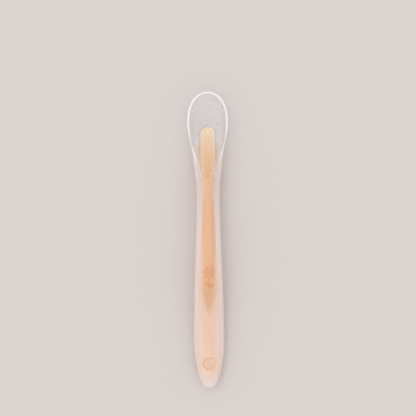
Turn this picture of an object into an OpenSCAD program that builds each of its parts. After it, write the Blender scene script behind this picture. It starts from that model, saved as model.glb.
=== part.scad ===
// Baby spoon: a soft silicone body moulded round a hard plastic core.
// The spoon lies on its back, bowl towards +Y, with its lowest points at Z = 0.
// Places along the spoon are distances behind the bowl's tip, or in front of the handle's end.

/* [Length] */
// Overall length, from the bowl's tip to the handle's end
spoon_l = 155; // [148:1:166]

/* [Bowl] */
// Width across the bowl at its widest
bowl_w = 21.6; // [20:0.2:24]
// Distance from the bowl's tip to its widest place
bowl_widest_at = 16; // [14:0.5:18]
// Distance from the bowl's tip to its lowest point
bowl_low_at = 19; // [17:0.5:22]
// Height of the rim above the table at the bowl's lowest point
rim_h = 9.4; // [8.8:0.1:10.2]
// How much further the rim climbs at the tip
tip_lift = 1.4; // [0.6:0.1:2.4]
// Thickness of the rim, from the outside to the scoop
rim_t = 1.2; // [1:0.1:1.8]
// How far the rounded top of the rim stands over the widest line
rim_crown = 0.9; // [0.5:0.1:1.4]
// Width where the bowl narrows towards the neck
shoulder_w = 16; // [15:0.2:17.5]
// Distance from the bowl's tip to that place
shoulder_at = 33; // [31:0.5:35]
// Distance from the bowl's tip to the point where the scoop runs out
scoop_l = 44.5; // [42:0.5:47]
// Thickness of the bowl's floor at its lowest point
floor_t = 2.8; // [2.6:0.1:3.4]

/* [Handle] */
// Width of the neck
neck_w = 12.4; // [11.6:0.2:14]
// Thickness of the neck
neck_t = 7.8; // [7.4:0.2:9]
// Distance from the bowl's tip to the neck
neck_at = 54; // [51:0.5:58]
// Height of the neck's underside above the table
neck_clear = 4.6; // [3.6:0.2:5.4]
// Height of the handle's underside above the table at the top of its arch
arch_clear = 5.8; // [5:0.2:7]
// Distance from the handle's end to the top of its arch
arch_back = 69; // [62:1:76]
// Width of the handle at its widest
tail_w = 16.2; // [15:0.2:18]
// Distance from the handle's end to its widest place
tail_back = 24; // [20:0.5:28]
// Thickness of the handle towards its end
tail_t = 8.8; // [8.2:0.2:10]
// Distance from the handle's end to the place that it rests on
tail_rest_back = 17; // [14:0.5:20]
// How far the handle's end lifts off the table again
end_lift = 1; // [0.4:0.1:2]
// Length over which the handle's end rounds off, seen from the side
end_round_l = 8; // [6:0.5:10]

/* [Core] */
// Distance from the bowl's tip to the core's tip
blade_at = 18; // [16.5:0.5:20]
// Width of the blade under the bowl's floor
blade_w = 7.8; // [6.6:0.2:8.4]
// Thickness of the blade at its tip
blade_t = 1.3; // [1:0.1:1.5]
// Width of the core at the neck
waist_w = 5.6; // [5.4:0.1:6.4]
// Thickness of the core's base along the handle
base_t = 3.2; // [2.6:0.1:3.4]
// Width of the core's base towards the handle's end
base_w = 10.4; // [10:0.2:11.2]
// Silicone behind the core's end
core_back = 4.6; // [4:0.2:6]
// Length over which the core's end rounds off
core_round_l = 11; // [9:0.5:13]
// Silicone over the blade in the bowl's floor
blade_cover = 0.7; // [0.6:0.1:0.9]
// Silicone over the core's base along the handle
base_cover = 2.3; // [2:0.1:2.6]
// Silicone over the neck, in front of the raised panel
neck_cover = 1; // [0.8:0.1:1.3]
// How far the raised panel stands over the base
panel_rise = 1.3; // [0.8:0.1:1.5]
// Silicone that is kept under the core
under_cover = 0.8; // [0.7:0.1:0.9]
// Width of the raised panel at the neck
panel_neck_w = 5; // [4.6:0.1:5.2]
// Width of the raised panel where its arch begins
panel_w = 8.5; // [7.6:0.1:9]
// Distance from the handle's end to the point of the panel's arch
arch_point_back = 39.5; // [34:0.5:42]
// Length of the pointed arch
arch_point_l = 20.5; // [17:0.5:24]

/* [Moulding marks] */
// Diameter of the locating pin's hole in the silicone at the neck
pin_hole_d = 4.4; // [3.8:0.1:4.6]
// Distance from the bowl's tip to that hole
pin_hole_at = 44; // [43:0.5:46]
// Diameter of the pin's seat in the core
pin_seat_d = 2.2; // [1.6:0.1:2.8]
// Depth of the pin's seat in the core
pin_seat_deep = 0.6; // [0.4:0.1:0.9]
// Diameter of the round recess near the handle's end
end_mark_d = 6.6; // [5.6:0.1:7.4]
// Distance from the handle's end to that recess
end_mark_back = 13; // [11.5:0.5:15]
// Depth of that recess
end_mark_deep = 0.5; // [0.3:0.1:0.7]

/* [Hidden] */
// Depth of the flats that the spoon rests on, cut into its lowest points
rest_flat = 0.25;
// Distance by which each cut runs past the surface that it opens
overrun = 2;
// Length over which the rim's crown rounds off at the tip
tip_round_l = 3;
// Thickness of the core under the run-out of the scoop
neck_core_t = 3.2;
// Draft of the raised panel's walls, and half the width of the blunt point of its arch
panel_draft = 0.3;
arch_nose = 0.15;
// Powers of the rounded sections: 2 gives an ellipse, and more gives fuller corners
bowl_power = 2.15;
handle_power = 2.5;
base_power = 3;
// Powers of the outline at the bowl's tip and at the handle's blunter end
tip_power = 2.3;
tip_root = 0.5;
end_power = 1.6;
end_root = 0.4;
// Powers of the pointed ends of the scoop and, a little fuller, of the panel
scoop_point_power = 0.88;
arch_point_power = 0.7;
// Share of its mean slope that the scoop's ramp keeps where it runs out
ramp_end_share = 0.5;
// Shares of the panel's half width and rise where its rounded edge meets its wall and its face
panel_edge_share = 0.82;
panel_wall_share = 0.78;
// Rings along each lofted form, and points in each ring
skin_rings = 80;
skin_points = 28;
scoop_rings = 34;
scoop_points = 14;
core_rings = 72;
belly_points = 8;
flank_points = 3;
// Facets of the round cuts
$fn = 48;

// Places along the spoon that follow from the sizes above
tail_at = spoon_l - tail_back;
tail_rest_at = spoon_l - tail_rest_back;
arch_at = spoon_l - arch_back;
core_end_at = spoon_l - core_back;
arch_point_at = spoon_l - arch_point_back;
arch_start_at = arch_point_at - arch_point_l;

// Rows of [distance behind the tip, size there], joined by smooth curves
width_rows = [
    [bowl_widest_at, bowl_w],
    [shoulder_at, shoulder_w],
    [neck_at, neck_w],
    [tail_at, tail_w],
];
mid_height_rows = [
    [0, rim_h + tip_lift],
    [bowl_low_at, rim_h],
    [neck_at, neck_clear + neck_t / 2],
    [arch_at, arch_clear + (neck_t + tail_t) / 4],
    [tail_rest_at, tail_t / 2 - rest_flat],
    [spoon_l, tail_t / 2 - rest_flat + end_lift],
];
crown_rows = [
    [bowl_low_at, rim_crown],
    [neck_at, neck_t / 2],
    [tail_rest_at, tail_t / 2],
];
belly_rows = [
    [bowl_low_at, rim_h + rest_flat],
    [neck_at, neck_t / 2],
    [tail_rest_at, tail_t / 2],
];
power_rows = [
    [bowl_low_at, bowl_power],
    [neck_at, handle_power],
];
core_width_rows = [
    [blade_at + 2 * blade_w, blade_w],
    [pin_hole_at, waist_w],
    [tail_at, base_w],
];
core_cover_rows = [
    [blade_at, blade_cover],
    [pin_hole_at, neck_cover],
    [neck_at + waist_w, base_cover],
];
core_thickness_rows = [
    [blade_at, blade_t],
    [pin_hole_at, neck_core_t],
    [neck_at + waist_w, base_t],
];
panel_width_rows = [
    [neck_at, panel_neck_w],
    [arch_start_at, panel_w],
];
panel_rise_rows = [
    [pin_hole_at, 0],
    [neck_at + waist_w, panel_rise],
];

// Mean slope between row i and the next
function slope(rows, i) =
    (rows[i + 1][1] - rows[i][1]) / (rows[i + 1][0] - rows[i][0]);

// Slope of the curve at row i: level at the ends and at each peak and dip
function slope_at(rows, i) =
    i == 0 || i == len(rows) - 1 ? 0 :
    slope(rows, i - 1) * slope(rows, i) <= 0 ? 0 :
    2 / (1 / slope(rows, i - 1) + 1 / slope(rows, i));

// Height of the cubic piece between rows i and i + 1 at distance d
function piece(rows, i, d) =
    let (l = rows[i + 1][0] - rows[i][0], t = (d - rows[i][0]) / l)
    rows[i][1] * (1 + 2 * t) * (1 - t) ^ 2
    + rows[i + 1][1] * (3 - 2 * t) * t ^ 2
    + l * t * (1 - t) * (slope_at(rows, i) * (1 - t) - slope_at(rows, i + 1) * t);

// Size at distance d on the smooth curve through the rows
function curve(rows, d) =
    d <= rows[0][0] ? rows[0][1] :
    d >= rows[len(rows) - 1][0] ? rows[len(rows) - 1][1] :
    piece(rows, max([for (i = [0 : len(rows) - 2]) if (rows[i][0] <= d) i]), d);

// Share of the full size left at share t of the way to a round end, or to a pointed one
function round_end(t, power = 2, root = 0.5) = (1 - min(1, max(0, t)) ^ power) ^ root;
function point_end(t, power) = (1 - min(1, max(0, t)) ^ 2) ^ power;

// Half the width of the silicone at distance d
function skin_half(d) = curve(width_rows, d) / 2
    * round_end(1 - d / bowl_widest_at, tip_power, tip_root)
    * round_end((d - tail_at) / tail_back, end_power, end_root);

// Height of the widest line of the silicone's section
function mid_z(d) = curve(mid_height_rows, d);

// How far the section rises over its widest line, and how far it hangs below
function crown(d) = curve(crown_rows, d)
    * round_end(1 - d / tip_round_l)
    * round_end(1 - (spoon_l - d) / end_round_l);
function belly(d) = curve(belly_rows, d)
    * round_end(1 - d / bowl_low_at)
    * round_end(1 - (spoon_l - d) / end_round_l);

// Top of the silicone at distance d and x from the middle, before the scoop is cut
function skin_top(d, x) =
    let (power = curve(power_rows, d))
    mid_z(d) + crown(d) * (1 - min(1, abs(x) / skin_half(d)) ^ power) ^ (1 / power);
function skin_bottom(d) = mid_z(d) - belly(d);

// Half the width of the scoop's mouth at distance d
function scoop_half(d) = (bowl_w / 2 - rim_t)
    * round_end(1 - (d - rim_t) / (bowl_widest_at - rim_t), tip_power, tip_root)
    * point_end((d - bowl_widest_at) / (scoop_l - bowl_widest_at), scoop_point_power);

// Height of the scoop's edge, and of its floor along the middle
function scoop_edge(d) = skin_top(d, scoop_half(d));
function scoop_ramp(t) = (3 - ramp_end_share) * t ^ 2 + (ramp_end_share - 2) * t ^ 3;
function scoop_floor(d) =
    d < bowl_low_at
    ? scoop_edge(d) - (scoop_edge(bowl_low_at) - floor_t)
        * round_end(1 - (d - rim_t) / (bowl_low_at - rim_t))
    : floor_t + (skin_top(scoop_l, 0) - floor_t)
        * scoop_ramp(min(1, (d - bowl_low_at) / (scoop_l - bowl_low_at)));

// The surface that the core lies under: the scoop's floor, then the top of the handle
function face_z(d) = d < scoop_l ? scoop_floor(d) : skin_top(d, 0);

// Half the width, top and bottom of the core's base at distance d
function core_half(d) = curve(core_width_rows, d) / 2
    * round_end(1 - (d - blade_at) / (blade_w / 2))
    * round_end(1 - (core_end_at - d) / core_round_l);
function core_top(d) = face_z(d) - curve(core_cover_rows, d);
function core_bottom(d) =
    max(core_top(d) - curve(core_thickness_rows, d), skin_bottom(d) + under_cover);
function core_mid(d) = (core_top(d) + core_bottom(d)) / 2;

// Half the width of the raised panel at distance d, and how far it stands over the base
function panel_half(d) = max(arch_nose, curve(panel_width_rows, d) / 2
    * point_end((d - arch_start_at) / arch_point_l, arch_point_power));
function panel_over(d) = d < arch_point_at ? curve(panel_rise_rows, d) : 0;

// Distances from a to b in n steps that crowd together at both ends
function crowded(a, b, n) = [for (i = [0 : n]) a + (b - a) * (1 - cos(180 * i / n)) / 2];

// A number's size raised to a power, with its sign kept
function signed_power(v, power) = sign(v) * abs(v) ^ power;

// Point at angle a of a rounded section at distance d, with its reach to the side and upwards
function round_point(d, a, half, mid, reach, power) = [
    half * signed_power(cos(a), 2 / power),
    spoon_l / 2 - d,
    mid + reach * signed_power(sin(a), 2 / power),
];

// Ring of the silicone's outside at distance d
function skin_ring(d) = [
    for (i = [0 : skin_points - 1])
        let (a = 360 * i / skin_points)
        round_point(d, a, skin_half(d), mid_z(d), a < 180 ? crown(d) : belly(d),
            curve(power_rows, d))
];

// Ring of the scoop's space at distance d: the dish, then straight up past the handle's top
function scoop_ring(d) =
    let (half = scoop_half(d), edge = scoop_edge(d), high = skin_top(d, 0) + overrun)
    concat(
        [
            for (i = [0 : scoop_points])
                round_point(d, 180 * (1 + i / scoop_points), half, edge,
                    edge - scoop_floor(d), 2)
        ],
        [[half, spoon_l / 2 - d, high], [-half, spoon_l / 2 - d, high]]
    );

// Right upper quarter of the core's ring: the base's flank, then the panel's wall and edge
function core_flank(d) =
    let (
        half = core_half(d),
        mid = core_mid(d),
        reach = core_top(d) - mid,
        wall = min(panel_half(d), half * panel_edge_share),
        foot = min(wall + panel_draft, half * (1 + panel_edge_share) / 2),
        foot_angle = acos((foot / half) ^ (base_power / 2)),
        wall_angle = acos((wall / half) ^ (base_power / 2)),
        edge_angle = acos((wall * panel_edge_share / half) ^ (base_power / 2))
    )
    concat(
        [
            for (i = [0 : flank_points])
                round_point(d, foot_angle * i / flank_points, half, mid, reach, base_power)
        ],
        [
            round_point(d, wall_angle, half, mid, reach, base_power)
                + [0, 0, panel_over(d) * panel_wall_share],
            round_point(d, edge_angle, half, mid, reach, base_power)
                + [0, 0, panel_over(d)],
        ]
    );

// Ring of the core at distance d: right flank, middle of the top, left flank and belly
function core_ring(d) =
    let (flank = core_flank(d))
    concat(
        flank,
        [[0, spoon_l / 2 - d, core_top(d) + panel_over(d)]],
        [for (i = [len(flank) - 1 : -1 : 0]) [-flank[i][0], flank[i][1], flank[i][2]]],
        [
            for (i = [1 : belly_points - 1])
                round_point(d, 180 * (1 + i / belly_points), core_half(d), core_mid(d),
                    core_mid(d) - core_bottom(d), base_power)
        ]
    );

// Closed solid through a list of rings, closed by a point at each end
module loft(rings, first_point, last_point) {
    n = len(rings[0]);
    last = len(rings) - 1;
    points = concat([first_point], [for (ring = rings) each ring], [last_point]);
    // Number of point j of ring i
    function at(i, j) = 1 + i * n + j % n;
    front = [for (j = [0 : n - 1]) [0, at(0, j), at(0, j + 1)]];
    back = [for (j = [0 : n - 1]) [len(points) - 1, at(last, j + 1), at(last, j)]];
    // The long faces split alike on the left and right, so that the form stays symmetric
    sides = [
        for (i = [0 : last - 1], j = [0 : n - 1])
            each rings[i][j][0] + rings[i][(j + 1) % n][0] > 0
                ? [
                    [at(i, j), at(i + 1, j + 1), at(i, j + 1)],
                    [at(i, j), at(i + 1, j), at(i + 1, j + 1)],
                ]
                : [
                    [at(i, j), at(i + 1, j), at(i, j + 1)],
                    [at(i, j + 1), at(i + 1, j), at(i + 1, j + 1)],
                ]
    ];
    polyhedron(points = points, faces = concat(front, sides, back));
}

// The places between a form's two ends, where it shrinks to a point
function inner(places) = [for (i = [1 : len(places) - 2]) places[i]];

// Outside of the silicone as one rounded body, with no scoop
module skin_form() {
    loft(
        [for (d = inner(crowded(0, spoon_l, skin_rings))) skin_ring(d)],
        [0, spoon_l / 2, mid_z(0)],
        [0, -spoon_l / 2, mid_z(spoon_l)]
    );
}

// Space of the scoop, cut from above
module scoop_form() {
    places = inner(crowded(rim_t, scoop_l, scoop_rings));
    first = places[0];
    last = places[len(places) - 1];
    loft(
        [for (d = places) scoop_ring(d)],
        [0, spoon_l / 2 - first, scoop_edge(first)],
        [0, spoon_l / 2 - last, scoop_edge(last)]
    );
}

// Whole core before the pin's seat, which is also the space that it fills in the silicone
module core_form() {
    before_arch = crowded(blade_at, arch_point_at, core_rings * 2 / 3);
    after_arch = crowded(arch_point_at + panel_draft, core_end_at, core_rings / 3);
    places = concat(
        [for (i = [1 : len(before_arch) - 2]) before_arch[i]],
        [for (i = [0 : len(after_arch) - 2]) after_arch[i]]
    );
    loft(
        [for (d = places) core_ring(d)],
        [0, spoon_l / 2 - blade_at, core_mid(blade_at)],
        [0, spoon_l / 2 - core_end_at, core_mid(core_end_at)]
    );
}

// Round cut from above at distance d, down to height z
module round_cut(d, z, diameter) {
    translate([0, spoon_l / 2 - d, z])
        cylinder(d = diameter, h = skin_top(d, 0) - z + overrun);
}

// Soft silicone body, moulded round the core
module silicone_body() {
    mark_at = spoon_l - end_mark_back;
    color([0.93, 0.89, 0.87, 0.5])
        difference() {
            skin_form();
            scoop_form();
            core_form();
            round_cut(pin_hole_at, core_mid(pin_hole_at), pin_hole_d);
            round_cut(mark_at, skin_top(mark_at, 0) - end_mark_deep, end_mark_d);
            // Table plane, which cuts the two flats that the spoon rests on
            translate([-bowl_w, -spoon_l, -overrun])
                cube([2 * bowl_w, 2 * spoon_l, overrun]);
        }
}

// Hard plastic core, inside the silicone
module core() {
    color([0.93, 0.74, 0.57])
        difference() {
            core_form();
            round_cut(pin_hole_at, core_top(pin_hole_at) - pin_seat_deep, pin_seat_d);
        }
}

silicone_body();
core();
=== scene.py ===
"""Baby spoon, dressed for rendering: a clear silicone skin moulded round a peach plastic core.

The spoon lies on its back with its bowl towards +Y. Every form is worked out in millimetres, in
distances behind the bowl's tip, and goes into its mesh in metres, where the CAD nodes are.
"""

import math

import bmesh
import bpy
import numpy as np
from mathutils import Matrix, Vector
from mathutils.bvhtree import BVHTree
from mathutils.kdtree import KDTree


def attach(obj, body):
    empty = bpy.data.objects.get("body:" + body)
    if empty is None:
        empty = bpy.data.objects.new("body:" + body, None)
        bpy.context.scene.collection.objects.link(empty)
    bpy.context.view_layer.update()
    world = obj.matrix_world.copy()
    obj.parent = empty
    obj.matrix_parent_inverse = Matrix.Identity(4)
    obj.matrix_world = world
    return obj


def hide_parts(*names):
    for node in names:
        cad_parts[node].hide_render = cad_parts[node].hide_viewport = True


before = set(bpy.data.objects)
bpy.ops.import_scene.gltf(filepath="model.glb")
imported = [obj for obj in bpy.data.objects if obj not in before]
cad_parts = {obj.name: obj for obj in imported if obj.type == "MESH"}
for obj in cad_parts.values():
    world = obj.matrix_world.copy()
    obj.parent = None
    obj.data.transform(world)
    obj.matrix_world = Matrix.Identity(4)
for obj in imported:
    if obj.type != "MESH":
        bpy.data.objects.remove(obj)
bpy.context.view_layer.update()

# The core is the hard insert inside the spoon, injection moulded from peach polypropylene.
# Its blade stiffens the bowl's floor and its base runs on inside the handle, under a raised
# panel that ends in a pointed arch. A pin of the skin's mould held it by the seat at the neck.

# The skin's own sizes in millimetres. They come first, because the core follows the skin's scoop
# and top at set depths.
spoon_l = 155
bowl_w, bowl_widest_at, bowl_low_at = 21.58, 16, 19
rim_h, tip_lift, rim_t, rim_crown, tip_round_l = 9.4, 1.4, 1.2, 0.9, 3
shoulder_w, shoulder_at, scoop_l, floor_t = 16, 33, 44.5, 2.8
neck_w, neck_t, neck_at, neck_clear = 12.4, 7.8, 54, 4.6
arch_clear, arch_at = 5.8, spoon_l - 69
tail_w, tail_back, tail_t, end_round_l = 16.2, 24, 8.8, 8
tail_at, tail_rest_at = spoon_l - tail_back, spoon_l - 17
end_lift, rest_flat = 1, 0.25

# Powers and roots of its round ends, powers of its section, and the bend of the scoop's ramp
bowl_round, tail_round, scoop_point_root = (2.3, 0.5), (1.6, 0.4), 0.88
bowl_fullness, handle_fullness, ramp_bend = 2.15, 2.5, 2.5


def curve(rows, d):
    """Size at distance d on the smooth curve through rows, level at its ends, peaks and dips."""
    at, size = np.array(rows, float).T
    rise = np.diff(size) / np.diff(at)
    slope = np.zeros(len(at))
    runs_on = rise[:-1] * rise[1:] > 0
    slope[1:-1][runs_on] = 2 / (1 / rise[:-1][runs_on] + 1 / rise[1:][runs_on])
    d = np.clip(d, at[0], at[-1])
    i = np.clip(np.searchsorted(at, d, side="right") - 1, 0, len(at) - 2)
    gap = at[i + 1] - at[i]
    t = (d - at[i]) / gap
    return (
        size[i] * (1 + 2 * t) * (1 - t) ** 2
        + size[i + 1] * (3 - 2 * t) * t**2
        + gap * t * (1 - t) * (slope[i] * (1 - t) - slope[i + 1] * t)
    )


def round_end(t, power=2.0, root=0.5):
    """Share of the full size left at share t of the way to a round end."""
    return (1 - np.clip(t, 0, 1) ** power) ** root


def skin_half(d):
    """Half the silicone's width."""
    rows = [(bowl_widest_at, bowl_w), (shoulder_at, shoulder_w), (neck_at, neck_w), (tail_at, tail_w)]
    tip = round_end(1 - d / bowl_widest_at, *bowl_round)
    return curve(rows, d) / 2 * tip * round_end((d - tail_at) / tail_back, *tail_round)


def mid_z(d):
    """Height of the widest line of the silicone."""
    rows = [
        (0, rim_h + tip_lift),
        (bowl_low_at, rim_h),
        (neck_at, neck_clear + neck_t / 2),
        (arch_at, arch_clear + (neck_t + tail_t) / 4),
        (tail_rest_at, tail_t / 2 - rest_flat),
        (spoon_l, tail_t / 2 - rest_flat + end_lift),
    ]
    return curve(rows, d)


def crown(d):
    """How far the silicone rises over its widest line."""
    rows = [(bowl_low_at, rim_crown), (neck_at, neck_t / 2), (tail_rest_at, tail_t / 2)]
    return curve(rows, d) * round_end(1 - d / tip_round_l) * round_end(1 - (spoon_l - d) / end_round_l)


def belly(d):
    """How far the silicone hangs below its widest line."""
    rows = [(bowl_low_at, rim_h + rest_flat), (neck_at, neck_t / 2), (tail_rest_at, tail_t / 2)]
    return curve(rows, d) * round_end(1 - d / bowl_low_at) * round_end(1 - (spoon_l - d) / end_round_l)


def fullness(d):
    """Power of the silicone's rounded section: 2 would be an ellipse."""
    return curve([(bowl_low_at, bowl_fullness), (neck_at, handle_fullness)], d)


def skin_round(d, x):
    """Share of its full height that the silicone's section has at x."""
    power = fullness(d)
    return round_end(np.abs(x) / np.maximum(skin_half(d), 1e-6), power, 1 / power)


def skin_top(d, x):
    """Height of the silicone's top before the scoop is hollowed out."""
    return mid_z(d) + crown(d) * skin_round(d, x)


def skin_bottom(d):
    """Height of the silicone's underside along the middle."""
    return mid_z(d) - belly(d)


def scoop_half(d):
    """Half the width of the scoop's mouth, which ends in a point at the neck."""
    front = round_end(1 - (d - rim_t) / (bowl_widest_at - rim_t), *bowl_round)
    back = round_end((d - bowl_widest_at) / (scoop_l - bowl_widest_at), 2, scoop_point_root)
    return (bowl_w / 2 - rim_t) * front * back


def scoop_edge(d):
    """Height of the mouth's edge."""
    return skin_top(d, scoop_half(d))


def scoop_floor(d):
    """Height of the scoop's floor along the middle: a round front, then a ramp up to the neck."""
    t = np.clip((d - bowl_low_at) / (scoop_l - bowl_low_at), 0, 1)
    climb = ramp_bend * t**2 - (ramp_bend - 1) * t**3
    back = floor_t + (skin_top(scoop_l, 0) - floor_t) * climb
    deep = scoop_edge(bowl_low_at) - floor_t
    front = scoop_edge(d) - deep * round_end(1 - (d - rim_t) / (bowl_low_at - rim_t))
    return np.where(d < bowl_low_at, front, back)


blade_at, blade_w, blade_t = 18, 7.8, 1.3
pin_at, waist_w, neck_core_t = 44, 5.6, 3.2
base_w, base_t = 10.4, 3.2
core_end_at, core_round_l = spoon_l - 4.6, 11
panel_neck_w, panel_w, panel_rise, panel_full_at = 5, 8.5, 1.3, neck_at + waist_w
arch_l, arch_point_at = 20.5, spoon_l - 39.5
pin_hole_r, pin_seat_r, pin_seat_deep = 2.2, 1.1, 0.6

# Depth of rubber over the blade, the neck and the base, and the least depth under the core
blade_cover, neck_cover, base_cover, under_cover = 0.7, 1, 2.3, 0.8

# Width of the panel's soft wall, the panel's widest share of the core, the root of its arch, and
# how fast its reach falls past the arch's point
wall_w, panel_share, arch_root, reach_fall = 2.7, 0.82, 0.7, 0.8

# Power of the core's rounded section, and the length of the rounding at its two ends
core_power, blade_lip, end_lip = 3, 0.8, 1.4


def core_half(d):
    """Half the core's width, from the blade's round tip to the round end."""
    rows = [(blade_at + 2 * blade_w, blade_w), (pin_at, waist_w), (tail_at, base_w)]
    tip = round_end(1 - (d - blade_at) / (blade_w / 2))
    return curve(rows, d) / 2 * tip * round_end(1 - (core_end_at - d) / core_round_l)


def core_top(d):
    """The core's top keeps a set depth under the scoop's floor and the handle's top."""
    face = np.where(d < scoop_l, scoop_floor(d), skin_top(d, 0))
    return face - curve([(blade_at, blade_cover), (pin_at, neck_cover), (panel_full_at, base_cover)], d)


def core_bottom(d):
    """The core's underside, which keeps a least depth over the silicone's."""
    thick = curve([(blade_at, blade_t), (pin_at, neck_core_t), (panel_full_at, base_t)], d)
    return np.maximum(core_top(d) - thick, skin_bottom(d) + under_cover)


def core_mid(d):
    """Height of the core's widest line."""
    return (core_top(d) + core_bottom(d)) / 2


def panel_reach(d):
    """Half the panel's width. Past the arch's point it runs on below zero."""
    half = curve([(neck_at, panel_neck_w), (arch_point_at - arch_l, panel_w)], d) / 2
    arch = round_end((d - arch_point_at + arch_l) / arch_l, 2, arch_root)
    widest = np.minimum(half * arch, core_half(d) * panel_share)
    return widest - reach_fall * np.maximum(d - arch_point_at, 0)


def ramp(value, start, full):
    """Smooth rise from 0 at start to 1 at full."""
    t = np.clip((value - start) / (full - start), 0, 1)
    return t * t * (3 - 2 * t)


def core_lift(d):
    """Rounds the core's thickness off at its two ends."""
    return round_end(1 - (d - blade_at) / blade_lip) * round_end(1 - (core_end_at - d) / end_lip)


def core_face(d, x):
    """Height of the core's top at x, with the panel's wall and its rounded edges."""
    share = np.abs(x) / np.maximum(core_half(d), 1e-6)
    rounded = core_lift(d) * round_end(share, core_power, 1 / core_power)
    wall = ramp(panel_reach(d) - np.abs(x), -wall_w / 2, wall_w / 2)
    rise = panel_rise * ramp(d, pin_at, panel_full_at) * wall
    return core_mid(d) + (core_top(d) - core_mid(d)) * rounded + rise


def crowded(a, b, n):
    """Places from a to b in n steps that crowd together at both ends."""
    return a + (b - a) * (1 - np.cos(np.linspace(0, np.pi, n + 1))) / 2


face_steps, wall_steps, flank_steps, under_steps = 8, 10, 8, 12


def core_line(d):
    """Right half of the core's section at d, from the middle of its top round to its belly."""
    half = max(float(core_half(d)), 1e-3)
    wall = min(max(float(panel_reach(d)), 0.0), half * panel_share)
    steps = np.linspace(-0.5, 0.5, wall_steps + 1) * wall_w
    room = np.clip(steps, -0.9 * wall, (half - wall) * 0.5)
    face = np.linspace(0, wall + room[0], face_steps + 1)[:-1]
    foot = math.acos(min(1, (wall + room[-1]) / half) ** (core_power / 2))
    flank = half * np.cos(np.linspace(foot, 0, flank_steps + 1)[1:]) ** (2 / core_power)
    flank[-1] = half
    x = np.concatenate([face, wall + room, flank])
    under = np.linspace(0, math.pi / 2, under_steps + 1)[1:]
    x_under = half * np.abs(np.cos(under)) ** (2 / core_power)
    x_under[-1] = 0
    deep = (core_mid(d) - core_bottom(d)) * core_lift(d)
    z_under = core_mid(d) - deep * np.sin(under) ** (2 / core_power)
    along = np.full(len(x) + under_steps, d)
    return np.stack([np.append(x, x_under), along, np.append(core_face(d, x), z_under)], 1)


def half_mesh(grid, blocks=()):
    """Points and faces of one half form from its section lines, with blocks left open along the
    middle. A block is (first line, last line, number of points off the middle)."""
    lines, points = grid.shape[:2]
    faces = [
        (i * points + j, i * points + j + 1, (i + 1) * points + j + 1, (i + 1) * points + j)
        for i in range(lines - 1)
        for j in range(points - 1)
        if not any(a <= i < b and j < k for a, b, k in blocks)
    ]
    return list(map(tuple, grid.reshape(-1, 3))), faces


def round_block(grid, places, first, last, reach):
    """Block round a recess: its first and last line, and the point that clears its reach."""
    a, b = (int(np.argmin(abs(places - d))) for d in (first, last))
    return a, b, int(np.argmax((grid[a : b + 1, :, 0] > reach).all(0)))


def sink_round(form, grid, block, centre, radius, floor_z, surface, lip, foot):
    """Fills a block of a half form with a round recess: from the block's border to the lip, over
    its rounded edge, down the wall and across the flat floor. lip and foot are the radii of its
    rounding at the surface and at the floor."""
    verts, faces = form
    first, last, reach = block
    points = grid.shape[1]
    border = [first * points + j for j in range(reach + 1)]
    border += [i * points + reach for i in range(first + 1, last)]
    border += [last * points + j for j in range(reach, -1, -1)]
    spots = np.array([verts[k] for k in border])[:, :2] - (0, centre)
    turn = np.arctan2(spots[:, 1], spots[:, 0])
    turn[0], turn[-1] = -math.pi / 2, math.pi / 2
    way = np.stack([np.cos(turn), np.sin(turn)], 1)
    way[0, 0] = way[-1, 0] = 0

    # Each ring's plan, its share of the surface's height, and what is added to that
    rings = []
    for t in (0.25, 0.5, 0.75, 1):
        rings.append((spots * (1 - t) + way * (radius + lip) * t, 1, 0))
    for q in np.radians([22.5, 45, 67.5, 90]):
        rings.append((way * (radius + lip * (1 - math.sin(q))), 1, -lip * (1 - math.cos(q))))
    for t in (0.35, 0.7):
        rings.append((way * radius, 1 - t, (floor_z + foot) * t - lip * (1 - t)))
    for q in np.radians([0, 30, 60, 90]):
        rings.append((way * (radius - foot * (1 - math.cos(q))), 0, floor_z + foot * (1 - math.sin(q))))
    for t in (0.75, 0.5, 0.25):
        rings.append((way * (radius - foot) * t, 0, floor_z))

    previous = border
    for spot, share, plus in rings:
        start = len(verts)
        x, d = spot[:, 0], spot[:, 1] + centre
        verts += list(map(tuple, np.stack([x, d, share * surface(d, x) + plus], 1)))
        ring = list(range(start, start + len(border)))
        faces += [(previous[k], ring[k], ring[k + 1], previous[k + 1]) for k in range(len(border) - 1)]
        previous = ring
    verts.append((0.0, centre, floor_z))
    faces += [(previous[k], len(verts) - 1, previous[k + 1]) for k in range(len(border) - 1)]


def y_at(d):
    """Y in metres at distance d behind the tip."""
    return (spoon_l / 2 - d) / 1000


def whole_object(name, *forms):
    """Object from half forms and their mirror images, in metres, closed along the middle."""
    bm = bmesh.new()
    for verts, faces in forms:
        for side in (1, -1):
            made = [bm.verts.new((side * x / 1000, y_at(d), z / 1000)) for x, d, z in verts]
            for face in faces:
                bm.faces.new([made[k] for k in face])
    loose = [v for v in bm.verts if not v.link_faces]
    bmesh.ops.delete(bm, geom=loose, context="VERTS")
    bmesh.ops.remove_doubles(bm, verts=bm.verts, dist=4e-7)
    bmesh.ops.dissolve_degenerate(bm, edges=bm.edges, dist=1e-7)
    bmesh.ops.recalc_face_normals(bm, faces=bm.faces)
    mesh = bpy.data.meshes.new(name)
    bm.to_mesh(mesh)
    bm.free()
    mesh.shade_smooth()
    piece = bpy.data.objects.new(name, mesh)
    bpy.context.scene.collection.objects.link(piece)
    return piece


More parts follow.
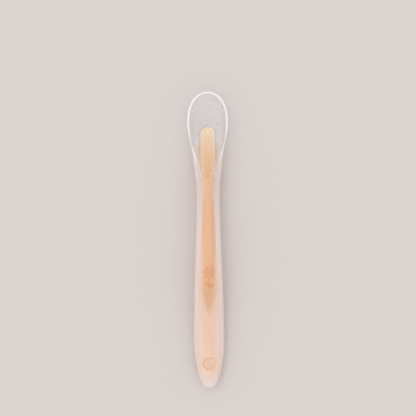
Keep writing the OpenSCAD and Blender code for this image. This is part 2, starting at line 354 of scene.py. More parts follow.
# Section lines of the core: close together at its ends, round the seat and at the arch's point
seat_first, seat_last = pin_at - 2 * pin_seat_r, pin_at + 2 * pin_seat_r
panel_step, arch_step, base_step = 0.7, 0.2, 0.9
core_places = np.concatenate([
    crowded(blade_at, blade_at + 8, 30)[1:18],
    np.arange(blade_at + 5.3, seat_first - 0.2, panel_step),
    np.linspace(seat_first, seat_last, 13),
    np.arange(seat_last + panel_step, arch_point_at - 4, panel_step),
    np.arange(arch_point_at - 4, arch_point_at + 1.6, arch_step),
    np.arange(arch_point_at + 2, core_end_at - 12, base_step),
    crowded(core_end_at - 24, core_end_at, 56)[28:-1],
])
core_grid = np.array([core_line(d) for d in core_places])
seat_block = round_block(core_grid, core_places, seat_first, seat_last, pin_seat_r + 0.4)
core_form = half_mesh(core_grid, [seat_block])
seat_floor = float(core_top(pin_at)) - pin_seat_deep
sink_round(core_form, core_grid, seat_block, pin_at, pin_seat_r, seat_floor, core_face, 0.12, 0.12)
# A point closes the core at each end
for end, place in ((0, blade_at), (len(core_places) - 1, core_end_at)):
    edge = [end * core_grid.shape[1] + j for j in range(core_grid.shape[1])]
    core_form[0].append((0.0, float(place), float(core_mid(place))))
    core_form[1].extend((edge[k], edge[k + 1], len(core_form[0]) - 1) for k in range(len(edge) - 1))
core = whole_object("peach_core", core_form)


def linear(hex_colour):
    """Linear colour with full alpha from an sRGB hex value."""
    parts = [int(hex_colour[k : k + 2], 16) / 255 for k in (1, 3, 5)]
    return [p / 12.92 if p <= 0.04045 else ((p + 0.055) / 1.055) ** 2.4 for p in parts] + [1]


def add(tree, kind, settings=None, **links):
    """Adds a node with its settings, and feeds its inputs with values or sockets. An input goes by
    its name with _ for a space, or by its number as i0, i1 and so on, as in a Mix of colours,
    where i0 is the share, i6 the first colour and i7 the second."""
    node = tree.nodes.new(kind)
    for key, value in (settings or {}).items():
        setattr(node, key, value)
    for key, value in links.items():
        numbered = key[0] == "i" and key[1:].isdigit()
        socket = node.inputs[int(key[1:])] if numbered else node.inputs[key.replace("_", " ")]
        if isinstance(value, bpy.types.NodeSocket):
            tree.links.new(value, socket)
        else:
            socket.default_value = value
    return node


def material(name):
    """A new material and its empty tree."""
    made = bpy.data.materials.new(name)
    made.use_nodes = True
    made.node_tree.nodes.clear()
    return made, made.node_tree


def keep(mesh, label, values):
    """Stores one number for each point of a mesh, for its material to read."""
    layer = mesh.attributes.new(label, "FLOAT", "POINT")
    layer.data.foreach_set("value", values)


def place_mm(mesh):
    """Every point of a mesh as its side offset, distance behind the tip and height, in mm."""
    spots = np.empty(len(mesh.vertices) * 3)
    mesh.vertices.foreach_get("co", spots)
    x, y, z = spots.reshape(-1, 3).T * 1000
    return x, spoon_l / 2 - y, z


# Distances that the plastic's colours read. far_mm is out of reach of them all.
far_mm = 9
x, d, z = place_mm(core.data)
round_r = blade_w / 2
from_edge = np.where(
    d < blade_at + round_r,
    round_r - np.hypot(x, blade_at + round_r - d),
    np.minimum(core_half(d) - np.abs(x), core_end_at - d),
)
off_panel = (d < panel_full_at) | (z < core_mid(d))
from_wall = np.where(off_panel, far_mm, np.abs(np.abs(x) - panel_reach(d)))
# Painted light: the thin edges and the panel's wall are painted paler, which also lifts the wall's shade
keep(core.data, "painted_edge_light", 0.3 * np.maximum(ramp(from_edge, 1, 0), ramp(from_wall, 1.1, 0)))
keep(core.data, "pin_mm", np.hypot(x, d - pin_at))

# Polypropylene from a spark eroded mould: an even, soft satin with a very fine grain. Its thin
# rounded edges, the panel's wall and the thin blade are painted paler. This is painted light,
# standing for light through them, and it lifts the shade of the steep wall. The pin's seat is
# painted darker, as painted shade in its recess. The melt's flow leaves a faint mottle, 6 mm wide
# and drawn out along the handle. Bare in the pin's hole, it shows its full orange. The real grain
# of 0.05 mm is too fine to show, so it is drawn at 0.7 mm.
mottle_mm, grain_mm = 6, 0.7
plastic, tree = material("moulded_polypropylene")
spot = add(tree, "ShaderNodeTexCoord")
drawn = add(tree, "ShaderNodeMapping", Vector=spot.outputs["Object"], Scale=(1, 0.35, 1))
flow = add(tree, "ShaderNodeTexNoise", Vector=drawn.outputs[0], Scale=1000 / mottle_mm, Detail=3)
grain = add(tree, "ShaderNodeTexNoise", Vector=spot.outputs["Object"], Scale=1000 / grain_mm, Detail=2)
split = add(tree, "ShaderNodeSeparateXYZ", Vector=spot.outputs["Object"])
painted_edge_light = add(tree, "ShaderNodeAttribute", {"attribute_name": "painted_edge_light"})
mark = add(tree, "ShaderNodeAttribute", {"attribute_name": "mark"})
pin = add(tree, "ShaderNodeAttribute", {"attribute_name": "pin_mm"})
# Painted light: the blade is painted paler towards its tip, for light through the thin blade
painted_blade_light = add(
    tree, "ShaderNodeMapRange", {"interpolation_type": "SMOOTHSTEP"}, Value=split.outputs["Y"],
    From_Min=y_at(pin_at + 4), From_Max=y_at(blade_at), To_Min=0, To_Max=0.75,
)
in_hole = add(
    tree, "ShaderNodeMapRange", Value=pin.outputs["Fac"],
    From_Min=pin_hole_r - 0.3, From_Max=pin_hole_r + 0.2, To_Min=0.5, To_Max=0,
)
# Painted shade: the pin's seat is painted darker, for the shade in its small recess
painted_seat_shade = add(
    tree, "ShaderNodeMapRange", Value=pin.outputs["Fac"],
    From_Min=pin_seat_r - 0.1, From_Max=pin_seat_r + 0.2, To_Min=1, To_Max=0,
)
colour = add(
    tree, "ShaderNodeMix", {"data_type": "RGBA"},
    i0=flow.outputs["Fac"], i6=linear("#F1C094"), i7=linear("#F4C89F"),
).outputs[2]
# Over the mottle come the painted light of the blade and the thin edges, the flower, the pin's hole and
# the painted shade of its seat
for share, tone in (
    (painted_blade_light.outputs[0], "#FFFADF"),
    (painted_edge_light.outputs["Fac"], "#FFE9D2"),
    (mark.outputs["Fac"], "#F2B27A"),
    (in_hole.outputs[0], "#F6C894"),
    (painted_seat_shade.outputs[0], "#E5B47E"),
):
    mixed = add(tree, "ShaderNodeMix", {"data_type": "RGBA"}, i0=share, i6=colour, i7=linear(tone))
    colour = mixed.outputs[2]
gloss = add(
    tree, "ShaderNodeMapRange", Value=flow.outputs["Fac"],
    From_Min=0.3, From_Max=0.7, To_Min=0.38, To_Max=0.5,
)
bump = add(tree, "ShaderNodeBump", Strength=0.25, Distance=0.00004, Height=grain.outputs["Fac"])
shader = add(
    tree, "ShaderNodeBsdfPrincipled", Base_Color=colour, Roughness=gloss.outputs[0],
    IOR=1.49, Normal=bump.outputs[0],
)
add(tree, "ShaderNodeOutputMaterial", Surface=shader.outputs[0])
core.data.materials.append(plastic)

# The flower stands 0.18 mm proud of the panel, cut into the core's mould: petals and pips round
# a button, over a stem with two leaves. It follows the panel's slope, which a ray from above
# finds, and reads a shade deeper than the panel.
flower_at, flower_r, petals, petal_w, flower_h = 94, 3.6, 6, 2, 0.18
stem_l, stem_w, leaf_l, leaf_w, leaf_turn = 6.2, 0.7, 3.2, 1.5, math.radians(32)

tree = bpy.data.node_groups.new("flower_on_the_panel", "GeometryNodeTree")
flower_sizes = {
    "Petals": petals, "Reach": flower_r / 1000, "Petal width": petal_w / 1000, "Height": flower_h / 1000,
    "Stem length": stem_l / 1000, "Stem width": stem_w / 1000, "Leaf length": leaf_l / 1000,
    "Leaf width": leaf_w / 1000, "Centre": y_at(flower_at), "Plastic": plastic,
}
tree.interface.new_socket("Core", in_out="INPUT", socket_type="NodeSocketGeometry")
for label, size in flower_sizes.items():
    kind = "Int" if isinstance(size, int) else "Float" if isinstance(size, float) else "Material"
    tree.interface.new_socket(label, in_out="INPUT", socket_type="NodeSocket" + kind)
tree.interface.new_socket("Marked core", in_out="OUTPUT", socket_type="NodeSocketGeometry")
given = add(tree, "NodeGroupInput").outputs


def pad(tree, long, wide, high, shares=(1, 1, 1)):
    """A low rounded pad, long along X, that sinks a little into what it lies on. It is as long,
    wide and high as the given shares of the three sizes."""
    ball = add(tree, "GeometryNodeMeshUVSphere", Segments=24, Rings=12, Radius=1)
    size = add(tree, "ShaderNodeCombineXYZ", X=long, Y=wide, Z=high)
    halves = (shares[0] / 2, shares[1] / 2, shares[2])
    scale = add(tree, "ShaderNodeVectorMath", {"operation": "MULTIPLY"}, i0=size.outputs[0], i1=halves)
    return add(
        tree, "GeometryNodeTransform", Geometry=ball.outputs["Mesh"], Scale=scale.outputs[0],
    ).outputs[0]


# Petals on a ring, each turned to point outwards, and a pip between each two
petal_ring_r = add(tree, "ShaderNodeMath", {"operation": "MULTIPLY"}, i0=given["Reach"], i1=0.69)
ring = add(tree, "GeometryNodeMeshCircle", Vertices=given["Petals"], Radius=petal_ring_r.outputs[0])
here = add(tree, "GeometryNodeInputPosition")
outward = add(tree, "FunctionNodeAlignRotationToVector", {"axis": "X"}, Vector=here.outputs[0])
petal = pad(tree, given["Reach"], given["Petal width"], given["Height"], (0.62, 1, 1))
whorl = add(
    tree, "GeometryNodeInstanceOnPoints", Points=ring.outputs["Mesh"], Instance=petal,
    Rotation=outward.outputs[0],
)
pip = pad(tree, given["Petal width"], given["Petal width"], given["Height"], (0.42, 0.42, 1))
wide_ring = add(tree, "GeometryNodeMeshCircle", Vertices=given["Petals"], Radius=given["Reach"])
pips = add(tree, "GeometryNodeInstanceOnPoints", Points=wide_ring.outputs["Mesh"], Instance=pip)
half_step = add(tree, "ShaderNodeMath", {"operation": "DIVIDE"}, i0=math.pi, i1=given["Petals"])
between = add(tree, "ShaderNodeCombineXYZ", Z=half_step.outputs[0])
pips = add(tree, "GeometryNodeTransform", Geometry=pips.outputs[0], Rotation=between.outputs[0])
button = pad(tree, given["Reach"], given["Reach"], given["Height"], (0.62, 0.62, 1.15))

# The stem hangs below the flower, with a leaf on either side
stem = pad(tree, given["Stem length"], given["Stem width"], given["Height"], (1, 1, 0.8))
hung = add(
    tree, "ShaderNodeMath", {"operation": "MULTIPLY_ADD"},
    i0=given["Stem length"], i1=-0.5, i2=-0.9 * flower_r / 1000,
)
stem_place = add(tree, "ShaderNodeCombineXYZ", Y=hung.outputs[0])
stem = add(
    tree, "GeometryNodeTransform", Geometry=stem, Translation=stem_place.outputs[0],
    Rotation=(0, 0, math.pi / 2),
)
leaf = pad(tree, given["Leaf length"], given["Leaf width"], given["Height"])
leaves = []
for side in (1, -1):
    out = add(tree, "ShaderNodeMath", {"operation": "MULTIPLY"}, i0=given["Leaf length"], i1=0.45 * side)
    down = add(
        tree, "ShaderNodeMath", {"operation": "MULTIPLY_ADD"},
        i0=given["Stem length"], i1=-0.62 - 0.06 * side, i2=-0.8 * flower_r / 1000,
    )
    leaf_place = add(tree, "ShaderNodeCombineXYZ", X=out.outputs[0], Y=down.outputs[0])
    leaves.append(add(
        tree, "GeometryNodeTransform", Geometry=leaf, Translation=leaf_place.outputs[0],
        Rotation=(0, 0, side * leaf_turn),
    ))

flat = add(tree, "GeometryNodeJoinGeometry")
for part in (whorl, pips, stem, *leaves):
    tree.links.new(part.outputs[0], flat.inputs[0])
tree.links.new(button, flat.inputs[0])
flat = add(tree, "GeometryNodeRealizeInstances", Geometry=flat.outputs[0])
centre = add(tree, "ShaderNodeCombineXYZ", Y=given["Centre"])
flat = add(tree, "GeometryNodeTransform", Geometry=flat.outputs[0], Translation=centre.outputs[0])

ray_from, ray_l = 0.03, 0.05

# A ray straight down over each of its points finds the panel below, and the point keeps its own
# height over that. What lies under the surface is drawn in to half its depth.
own = add(tree, "ShaderNodeSeparateXYZ", Vector=here.outputs[0])
above = add(tree, "ShaderNodeCombineXYZ", X=own.outputs[0], Y=own.outputs[1], Z=ray_from)
ray = add(
    tree, "GeometryNodeRaycast", Target_Geometry=given["Core"], Source_Position=above.outputs[0],
    Ray_Direction=(0, 0, -1), Ray_Length=ray_l,
)
panel_z = add(tree, "ShaderNodeSeparateXYZ", Vector=ray.outputs["Hit Position"])
half_deep = add(tree, "ShaderNodeMath", {"operation": "MULTIPLY"}, i0=own.outputs[2], i1=0.5)
sunk = add(
    tree, "ShaderNodeMath", {"operation": "MAXIMUM"}, i0=own.outputs[2], i1=half_deep.outputs[0],
)
height = add(tree, "ShaderNodeMath", {"operation": "ADD"}, i0=panel_z.outputs[2], i1=sunk.outputs[0])
laid = add(tree, "ShaderNodeCombineXYZ", X=own.outputs[0], Y=own.outputs[1], Z=height.outputs[0])
flower = add(tree, "GeometryNodeSetPosition", Geometry=flat.outputs[0], Position=laid.outputs[0])
for label, value in (("mark", 1), ("pin_mm", far_mm)):
    flower = add(
        tree, "GeometryNodeStoreNamedAttribute", {"data_type": "FLOAT", "domain": "POINT"},
        Geometry=flower.outputs[0], Name=label, Value=value,
    )
both = add(tree, "GeometryNodeJoinGeometry")
tree.links.new(flower.outputs[0], both.inputs[0])
tree.links.new(given["Core"], both.inputs[0])
solid = add(tree, "GeometryNodeRealizeInstances", Geometry=both.outputs[0])
dressed = add(tree, "GeometryNodeSetMaterial", Geometry=solid.outputs[0], Material=given["Plastic"])
add(tree, "NodeGroupOutput", i0=dressed.outputs[0])


def apply_tree(piece, tree, sizes):
    """Runs a tree on a piece with its sizes, and leaves the piece a plain mesh."""
    modifier = piece.modifiers.new(tree.name, "NODES")
    modifier.node_group = tree
    for item in tree.interface.items_tree:
        if item.in_out == "INPUT" and item.name in sizes:
            modifier[item.identifier] = sizes[item.name]
    ready = piece.evaluated_get(bpy.context.evaluated_depsgraph_get())
    mesh = bpy.data.meshes.new_from_object(ready)
    piece.modifiers.remove(modifier)
    piece.data = mesh
    mesh.shade_smooth()


apply_tree(core, tree, flower_sizes)
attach(core, "root")
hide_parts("core")

# The skin is clear, slightly milky silicone rubber, moulded round the core in one shot. It forms
# the scoop with its thin round rim, the neck and the handle, and keeps the hole of the mould's
# pin over the core's seat and a shallow round recess near the handle's end.

recess_at, recess_r, recess_deep = spoon_l - 13, 3.3, 0.5
lip_r = 0.55

# Steps across its section, and the depth over the core at which the haze is full
crown_steps, lip_steps, dish_steps, belly_steps = 12, 6, 16, 18
full_haze_mm = 3.4


def dish_z(d, x):
    """Height of the scoop's hollow, which is an ellipse in every section."""
    deep = scoop_edge(d) - scoop_floor(d)
    return scoop_edge(d) - deep * round_end(np.abs(x) / np.maximum(scoop_half(d), 1e-6))


def belly_z(d, x):
    """Height of the silicone's underside at x."""
    return mid_z(d) - belly(d) * skin_round(d, x)


def top_z(d, x):
    """Height of the finished top, with the scoop's shallow end let softly into the neck."""
    solid = skin_top(d, x)
    hollow = np.where(np.abs(x) < scoop_half(d), dish_z(d, x), solid + 1)
    soft = np.maximum(0.25 - np.abs(solid - hollow), 0)
    return np.minimum(solid, hollow) - soft**2


def skin_line(centre, out, mouth, hollow):
    """Right half of a section: from the middle of the top, over the lip and the widest line, to
    the middle of the belly. centre, out and mouth are plan points (x, distance)."""
    centre, out, mouth = (np.array(p, float) for p in (centre, out, mouth))
    power = float(fullness(out[1]))
    angle = np.linspace(0, math.pi / 2, 65)
    dish = centre + (mouth - centre) * np.cos(angle)[:, None]
    drop = np.maximum(float(scoop_edge(mouth[1])) - dish_z(dish[:, 1], dish[:, 0]), 0)
    rim = np.linalg.norm(out - mouth)

    # The hollow and its rounded lip, which is smaller where the rim is thin or the hollow shallow
    soft = min(0.42 * rim, 0.45 * drop.max(), lip_r) if hollow else 0
    if hollow and soft > 0.02:
        start = float(np.interp(soft, np.maximum.accumulate(drop), angle))
        angle = np.linspace(start, math.pi / 2, dish_steps + 1)
        inner = centre + (mouth - centre) * np.cos(angle)[:, None]
        inner = np.column_stack([inner, dish_z(inner[:, 1], inner[:, 0])])
        edge = mouth + (out - mouth) / rim * soft
        edge = np.append(edge, skin_top(edge[1], edge[0]))
        corner = np.append(mouth, skin_top(mouth[1], mouth[0]))
        t = np.linspace(0, 1, lip_steps + 1)[1:-1, None]
        lip = inner[0] * (1 - t) ** 2 + corner * 2 * t * (1 - t) + edge * t**2
        inner = np.vstack([inner[::-1], lip])
        from_x = edge[:2]
    else:
        t = np.linspace(0, 1, dish_steps + lip_steps + 1)[:-1, None]
        inner = centre + (mouth - centre) * t
        inner = np.column_stack([inner, top_z(inner[:, 1], inner[:, 0])])
        from_x = mouth

    # From there over the crown to the widest line
    share = np.linalg.norm(from_x - centre) / np.linalg.norm(out - centre)
    angle = np.linspace(math.acos(min(1, share ** (power / 2))), 0, crown_steps + 1)
    over = centre + (out - centre) * (np.cos(angle) ** (2 / power))[:, None]
    over[0], over[-1] = from_x, out
    over = np.column_stack([over, skin_top(over[:, 1], over[:, 0])])

    # The belly, cut flat where it rests on the board
    angle = np.linspace(0, math.pi / 2, belly_steps + 1)[1:]
    under = centre + (out - centre) * (np.abs(np.cos(angle)) ** (2 / power))[:, None]
    under[-1] = centre
    under = np.column_stack([under, np.maximum(belly_z(under[:, 1], under[:, 0]), 0)])
    return np.vstack([inner, over, under])


# The bowl's front has its section lines turned round one point. Behind it they cross the spoon.
bowl_lines = []
for turn in np.radians(np.linspace(0, 90, 25)):
    along, across = math.cos(turn) ** (2 / bowl_round[0]), math.sin(turn)
    out = (bowl_w / 2 * across, bowl_widest_at * (1 - along))
    mouth = ((bowl_w / 2 - rim_t) * across, bowl_widest_at - (bowl_widest_at - rim_t) * along)
    bowl_lines.append(skin_line((0, bowl_widest_at), out, mouth, True))
bowl_form = half_mesh(np.array(bowl_lines))

# Two blocks of lines are left open, round the pin's hole and round the recess
hole_reach, recess_reach = 3.1, 4.4
hole_first, hole_last = pin_at - hole_reach, pin_at + hole_reach
recess_first, recess_last = recess_at - recess_reach, recess_at + recess_reach
skin_places = np.concatenate([
    np.linspace(bowl_widest_at, hole_first, 36),
    np.linspace(hole_first, hole_last, 15)[1:],
    np.linspace(hole_last, recess_first, 92)[1:],
    np.linspace(recess_first, recess_last, 15)[1:],
    crowded(spoon_l - 2 * (spoon_l - recess_last), spoon_l, 56)[29:-1],
])
# Past the scoop there is no mouth, and its point goes over to a share of the half width, so that
# many points lie over the core
top_share = 0.62
skin_lines = []
for d in skin_places:
    half = float(skin_half(d))
    spread = float(ramp(d, hole_first + 1, hole_first + 4.5))
    mouth = float(scoop_half(d)) * (1 - spread) + top_share * half * spread
    skin_lines.append(skin_line((0, d), (half, d), (mouth, d), d <= hole_first + 0.01))
skin_grid = np.array(skin_lines)

# The hole's floor lies inside the core, out of sight, so the hole opens on the core's seat
hole_block = round_block(skin_grid, skin_places, hole_first, hole_last, pin_hole_r + 0.9)
recess_block = round_block(skin_grid, skin_places, recess_first, recess_last, recess_r + 0.9)
skin_form = half_mesh(skin_grid, [hole_block, recess_block])
hole_floor = float(core_top(pin_at)) - 1.1
recess_floor = float(skin_top(recess_at, 0)) - recess_deep
sink_round(skin_form, skin_grid, hole_block, pin_at, pin_hole_r, hole_floor, top_z, 0.35, 0.1)
sink_round(skin_form, skin_grid, recess_block, recess_at, recess_r, recess_floor, top_z, 0.3, 0.25)
edge = [(len(skin_places) - 1) * skin_grid.shape[1] + j for j in range(skin_grid.shape[1])]
skin_form[0].append((0.0, float(spoon_l), float(mid_z(spoon_l))))
skin_form[1].extend((edge[k], edge[k + 1], len(skin_form[0]) - 1) for k in range(len(edge) - 1))
silicone = whole_object("clear_silicone", bowl_form, skin_form)


def depth_of_rubber(mesh, inside):
    """Each point's depth of rubber behind it and its gap to the core, both in mm. The depth is the
    mean of four rays, one straight in and three tilted round it, from just under the surface."""
    under_skin, ray_reach = 2e-5, 0.04
    trees = []
    for shown in (mesh, inside):
        faces = [tuple(p.vertices) for p in shown.polygons]
        trees.append(BVHTree.FromPolygons([v.co for v in shown.vertices], faces))
    depths, gaps = [], []
    for v in mesh.vertices:
        inward = -v.normal
        side = inward.orthogonal().normalized()
        cross = inward.cross(side)
        found = []
        for tilt, turn in ((0, 0), (0.5, 0), (0.5, 2.1), (0.5, 4.2)):
            way = inward + tilt * (math.cos(turn) * side + math.sin(turn) * cross)
            way.normalize()
            near = [tree.ray_cast(v.co + inward * under_skin, way, ray_reach)[3] for tree in trees]
            near = [n for n in near if n is not None]
            found.append(min(near) if near else 0)
        depths.append(1000 * sum(found) / len(found))
        gaps.append(1000 * trees[1].find_nearest(v.co)[3])
    return np.array(depths), np.array(gaps)


def evened(mesh, values, times):
    """Values of a mesh's points, each mixed with its neighbours' a number of times."""
    ends = np.empty(len(mesh.edges) * 2, int)
    mesh.edges.foreach_get("vertices", ends)
    a, b = ends.reshape(-1, 2).T
    values = values.astype(float)
    count = np.bincount(ends, minlength=len(values))
    for _ in range(times):
        near = np.bincount(a, values[b], len(values)) + np.bincount(b, values[a], len(values))
        values = (values + near / np.maximum(count, 1)) / 2
    return values


def gap_to_rim(mesh):
    """Each point's distance in mm from the ridge of the bowl's rim. Behind the fade it counts for
    more, so that the rim's painted highlight dies out towards the neck."""
    fades_at, fade = 31, 0.2
    on_ridge = dish_steps + lip_steps // 2 + 1
    ridge = [line[on_ridge] for line in bowl_lines]
    ridge += [line[on_ridge] for line, d in zip(skin_lines, skin_places) if d < scoop_l - 8]
    found = KDTree(2 * len(ridge))
    for k, (x, d, z) in enumerate(ridge):
        for side in (1, -1):
            found.insert(Vector((side * x, spoon_l / 2 - d, z)) / 1000, 2 * k + (side > 0))
    found.balance()
    gaps = np.array([1000 * found.find(v.co)[2] for v in mesh.vertices])
    return gaps + fade * np.maximum(place_mm(mesh)[1] - fades_at, 0)


x, d, z = place_mm(silicone.data)
depths, gaps = depth_of_rubber(silicone.data, core.data)
in_scoop = (d < scoop_l) & (np.abs(x) < scoop_half(d) + 0.15)

# How far each point lies outside the core's outline, seen from above
end_r = base_w / 2
past_core = np.where(
    d < blade_at + round_r, np.hypot(x, blade_at + round_r - d) - round_r, np.abs(x) - core_half(d)
)
past_end = np.hypot(x, np.maximum(d - core_end_at + end_r, 0)) - end_r
past_core = np.where(d > core_end_at - end_r, np.maximum(past_core, past_end), past_core)

# Depth of rubber, for the bowl. Close to the core it is capped, and beside the blade it is at
# least as much as the floor's: that haze is painted light, which lifts the shade the blade casts
# in the bowl and lets the blade stand out.
depths = np.minimum(evened(silicone.data, depths, 12), 0.5 + 1.1 * gaps)
blade_shadow_haze = in_scoop * ramp(past_core, -0.56, 0.14) * ramp(past_core, 4.8, 1.8)
blade_shadow_haze *= 1 + 0.3 * ramp(d, blade_at + 1, blade_at + 10)
keep(silicone.data, "rubber_mm", np.maximum(depths, floor_t * blade_shadow_haze))

# Depth of rubber over the core, for the handle. Between the neck and the arch it is read nearer
# the middle, so that the panel shows out to the core's own edge, and past that edge it counts as
# deep. It grows a little towards the edge past the arch, which softens the edge at the tail, and
# is held back along the handle's widest line.
arch_start_at = arch_point_at - arch_l
full_panel = ramp(d, neck_at - 3, neck_at + 14) * ramp(d, arch_start_at + 2, arch_start_at - 26)
on_core = np.minimum(np.abs(x) + 0.35 - 1.5 * full_panel, 0.97 * core_half(d))
over_core = np.where(z > mid_z(d), z - core_face(d, on_core), core_bottom(d) - z)
over_core = np.maximum(over_core, 5 * (past_core + 0.45))
over_core += 0.4 * ramp(d, arch_point_at - 4, arch_point_at + 6) * ramp(past_core, -2.8, -0.4)
flank = ramp(np.abs(z - mid_z(d)), 2, 0) * ramp(d, scoop_l, scoop_l + 4)
over_core = np.minimum(over_core, full_haze_mm - 0.7 * flank)
keep(silicone.data, "over_core_mm", evened(silicone.data, over_core, 3))

# Gap to the core, for its painted glow, which is held back beside the blade
off_blade = in_scoop * ramp(past_core, -0.32, 0.48) * ramp(d, shoulder_at, shoulder_at - 12)
keep(silicone.data, "core_mm", gaps + 2.2 * off_blade)

# Distance from the rim's ridge, and a painted glint: peach light in the scoop's walls beside the blade
rim_gap = gap_to_rim(silicone.data)
keep(silicone.data, "rim_mm", rim_gap)
keep(silicone.data, "painted_glint", ramp(d, 21, 27) * ramp(d, 38, 32) * ramp(rim_gap, 2.99, 0.39) * in_scoop)

# Distance from the recess's edge and from the parting line
keep(silicone.data, "recess_mm", np.hypot(x, d - recess_at) - recess_r)
keep(silicone.data, "seam_mm", np.where(in_scoop, far_mm, np.abs(z - mid_z(d))))

# Liquid silicone rubber, clear with a milky haze that grows with its depth over the core: thin
# walls show what is behind them, and deep ones turn white. Near the core the white is painted
# peach, a painted glow for the core's light in the rubber, duller at the slim neck. The haze
# counts once, where light comes in, so the skin is clear from inside. No air lies between skin
# and core, so light passes on with hardly a bend, and the gloss is a coat with the rubber's own
# index of 1.41. The rim's ridge and the scoop's walls beside the blade get more haze and white or
# peach paint: a painted highlight and a painted glint for light caught in the wall. The mould is
# polished at the bowl and fine satin along the handle, and leaves a hair of a parting line round
# the widest line. Waves of the surface are 7 mm long. The satin's own grain is too fine to show
# and is drawn at 0.9 mm.
wave_mm, grain_mm = 7, 0.9
rubber, tree = material("moulded_silicone_rubber")
spot = add(tree, "ShaderNodeTexCoord")
split = add(tree, "ShaderNodeSeparateXYZ", Vector=spot.outputs["Object"])
kept = {
    label: add(tree, "ShaderNodeAttribute", {"attribute_name": label}).outputs["Fac"]
    for label in ("rubber_mm", "over_core_mm", "core_mm", "recess_mm", "rim_mm", "seam_mm", "painted_glint")
}
waves = add(tree, "ShaderNodeTexNoise", Vector=spot.outputs["Object"], Scale=1000 / wave_mm, Detail=2)
grain = add(tree, "ShaderNodeTexNoise", Vector=spot.outputs["Object"], Scale=1000 / grain_mm, Detail=2)

# Share of the light that the rubber lets through: by its depth over the core along the handle, by
# its own depth in the bowl, and less at the rim's painted highlight and the walls' painted glint
deep = add(
    tree, "ShaderNodeMapRange", Value=kept["over_core_mm"],
    From_Min=1, From_Max=full_haze_mm, To_Min=0.96, To_Max=0.12,
)
shallow = add(
    tree, "ShaderNodeMapRange", Value=kept["rubber_mm"],
    From_Min=0.7, From_Max=4.6, To_Min=0.97, To_Max=0.4,
)
bowl = add(
    tree, "ShaderNodeMapRange", {"interpolation_type": "SMOOTHSTEP"}, Value=split.outputs["Y"],
    From_Min=y_at(scoop_l), From_Max=y_at(scoop_l - 12), To_Min=0, To_Max=1,
)
through = add(
    tree, "ShaderNodeMix", {"data_type": "FLOAT"},
    i0=bowl.outputs[0], i2=deep.outputs[0], i3=shallow.outputs[0],
)
# Painted highlight: the rim's ridge is made hazier and whiter, for light caught in its wall
ridge = add(
    tree, "ShaderNodeMapRange", {"interpolation_type": "SMOOTHSTEP"}, Value=kept["rim_mm"],
    From_Min=0.3, From_Max=2, To_Min=1, To_Max=0,
)
# Painted glint: peach light on the scoop's walls beside the blade
painted_glint_share = add(tree, "ShaderNodeMath", {"operation": "MULTIPLY"}, i0=kept["painted_glint"], i1=0.7)
painted_rim_light_and_glint = add(
    tree, "ShaderNodeMath", {"operation": "MAXIMUM"}, i0=ridge.outputs[0], i1=painted_glint_share.outputs[0],
)
clear = add(
    tree, "ShaderNodeMix", {"data_type": "FLOAT"},
    i0=painted_rim_light_and_glint.outputs[0], i2=through.outputs[0], i3=0.35,
)

# Painted glow: the core's light, painted as a peach tint in the rubber round it. It reaches less far round
# the blade's tip.
painted_glow_reach = add(
    tree, "ShaderNodeMapRange", Value=split.outputs["Y"],
    From_Min=y_at(40), From_Max=y_at(blade_at), To_Min=9, To_Max=2.2,
)
painted_glow = add(
    tree, "ShaderNodeMapRange", {"interpolation_type": "SMOOTHSTEP"}, Value=kept["core_mm"],
    From_Min=0.3, From_Max=painted_glow_reach.outputs[0], To_Min=1, To_Max=0,
)

# The painted glow is duller over the neck's thick edges
neck = add(
    tree, "ShaderNodeMapRange", {"interpolation_type": "SMOOTHSTEP"}, Value=split.outputs["Y"],
    From_Min=y_at(80), From_Max=y_at(46), To_Min=0, To_Max=1,
)
thick = add(
    tree, "ShaderNodeMapRange", Value=kept["over_core_mm"],
    From_Min=1.5, From_Max=3, To_Min=0, To_Max=1,
)
dull = add(tree, "ShaderNodeMath", {"operation": "MULTIPLY"}, i0=thick.outputs[0], i1=neck.outputs[0])
painted_glow_colour = add(
    tree, "ShaderNodeMix", {"data_type": "RGBA"},
    i0=dull.outputs[0], i6=linear("#E6CFC4"), i7=linear("#DAC3B9"),
)
painted_glow_colour = add(
    tree, "ShaderNodeMix", {"data_type": "RGBA"},
    i0=bowl.outputs[0], i6=painted_glow_colour.outputs[2], i7=linear("#EFD3C1"),
)

# From the clear rubber's white, the colour goes over to the painted glow, the painted shade at
# the recess's edge, the rim's painted highlight and glint, and the skin's inside
# Painted shade: a darker peach ring is painted round the recess's edge
painted_recess_shade = add(tree, "ShaderNodeMath", {"operation": "ABSOLUTE"}, i0=kept["recess_mm"])
painted_recess_shade = add(
    tree, "ShaderNodeMapRange", Value=painted_recess_shade.outputs[0],
    From_Min=0, From_Max=0.6, To_Min=1, To_Max=0,
)
painted_warm_light = add(tree, "ShaderNodeMath", {"operation": "MAXIMUM"}, i0=painted_glow.outputs[0], i1=kept["painted_glint"])
painted_rim_colour = add(
    tree, "ShaderNodeMix", {"data_type": "RGBA"},
    i0=painted_warm_light.outputs[0], i6=linear("#FFFFFF"), i7=linear("#FFE3CF"),
)
inner = add(tree, "ShaderNodeNewGeometry").outputs["Backfacing"]
colour = linear("#FCF9FB")
for share, over in (
    (painted_glow.outputs[0], painted_glow_colour.outputs[2]),
    (painted_recess_shade.outputs[0], linear("#F1D0BA")),
    (painted_rim_light_and_glint.outputs[0], painted_rim_colour.outputs[2]),
    (inner, linear("#FFFFFF")),
):
    mixed = add(tree, "ShaderNodeMix", {"data_type": "RGBA"}, i0=share, i6=colour, i7=over)
    colour = mixed.outputs[2]
clear = add(tree, "ShaderNodeMath", {"operation": "MAXIMUM"}, i0=clear.outputs[0], i1=inner)

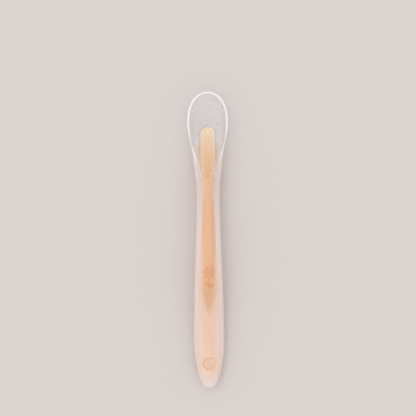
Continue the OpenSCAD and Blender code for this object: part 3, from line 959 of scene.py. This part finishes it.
# Satin along the handle, polish at the bowl, and the bumps of waves, grain and parting line
satin = add(
    tree, "ShaderNodeMapRange", Value=split.outputs["Y"],
    From_Min=y_at(neck_at), From_Max=y_at(shoulder_at), To_Min=0.14, To_Max=0.07,
)
gloss = add(
    tree, "ShaderNodeMath", {"operation": "MULTIPLY_ADD"},
    i0=waves.outputs["Fac"], i1=0.05, i2=satin.outputs[0],
)
line = add(tree, "ShaderNodeMapRange", Value=kept["seam_mm"], From_Min=0, From_Max=0.3, To_Min=1, To_Max=0)
swell = add(tree, "ShaderNodeBump", Strength=0.3, Distance=0.00012, Height=waves.outputs["Fac"])
fine = add(
    tree, "ShaderNodeBump", Strength=0.12, Distance=0.00003,
    Height=grain.outputs["Fac"], Normal=swell.outputs[0],
)
parting = add(
    tree, "ShaderNodeBump", Strength=0.5, Distance=0.00008,
    Height=line.outputs[0], Normal=fine.outputs[0],
)
shader = add(
    tree, "ShaderNodeBsdfPrincipled",
    Base_Color=colour, Roughness=gloss.outputs[0], IOR=1.03, Transmission_Weight=clear.outputs[0],
    Coat_Weight=1, Coat_Roughness=0.18, Coat_IOR=1.41, Normal=parting.outputs[0],
)
add(tree, "ShaderNodeOutputMaterial", Surface=shader.outputs[0])
silicone.data.materials.append(rubber)
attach(silicone, "root")
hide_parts("silicone_body")

# The stage is a plain pale tabletop of smooth board, under one soft lamp and an even studio,
# seen from straight above. The board lies a hair under the spoon, so that no two faces share
# one plane.

fibre_mm = 3
bpy.ops.mesh.primitive_plane_add(size=8)
floor = bpy.context.object
floor.location.z = -0.00005
floor.name = "floor"
board, tree = material("smooth_pale_board")
spot = add(tree, "ShaderNodeTexCoord")
fibre = add(tree, "ShaderNodeTexNoise", Vector=spot.outputs["Object"], Scale=1000 / fibre_mm, Detail=4)
tone = add(
    tree, "ShaderNodeMix", {"data_type": "RGBA"},
    i0=fibre.outputs["Fac"], i6=linear("#D3CCC9"), i7=linear("#D7D0CD"),
)
shader = add(tree, "ShaderNodeBsdfPrincipled", Base_Color=tone.outputs[2], Roughness=0.9)
add(tree, "ShaderNodeOutputMaterial", Surface=shader.outputs[0])
floor.data.materials.append(board)

world = bpy.data.worlds.new("studio")
bpy.context.scene.world = world
world.use_nodes = True
studio = world.node_tree.nodes["Background"].inputs
studio["Color"].default_value = (0.98, 0.97, 0.96, 1)
studio["Strength"].default_value = 0.92

lamp = bpy.data.lights.new("softbox", "SUN")
lamp.energy, lamp.angle = 0.54, math.radians(45)
lamp_way = Vector((0.22, -0.12, -0.95))
holder = bpy.data.objects.new("softbox", lamp)
holder.rotation_euler = lamp_way.to_track_quat("-Z", "Y").to_euler()
bpy.context.scene.collection.objects.link(holder)

# The picture is 416 pixels and 0.2168 m wide at 9 mm over the board. The spoon's middle lies 32.1
# pixels below the picture's, and the spoon is turned by 0.4 degrees in it.
seen_m, picture_px, below_px, at_height = 0.2168, 416, 32.1, 0.009
lens, sensor = 120, 36
camera = bpy.data.objects.new("camera", bpy.data.cameras.new("camera"))
camera.data.lens, camera.data.sensor_width = lens, sensor
camera.location = (-0.0001, below_px / picture_px * seen_m, at_height + seen_m * lens / sensor)
camera.rotation_euler = (0, 0, math.radians(-0.4))
bpy.context.scene.collection.objects.link(camera)
bpy.context.scene.camera = camera
bpy.context.scene.view_settings.view_transform = "Standard"
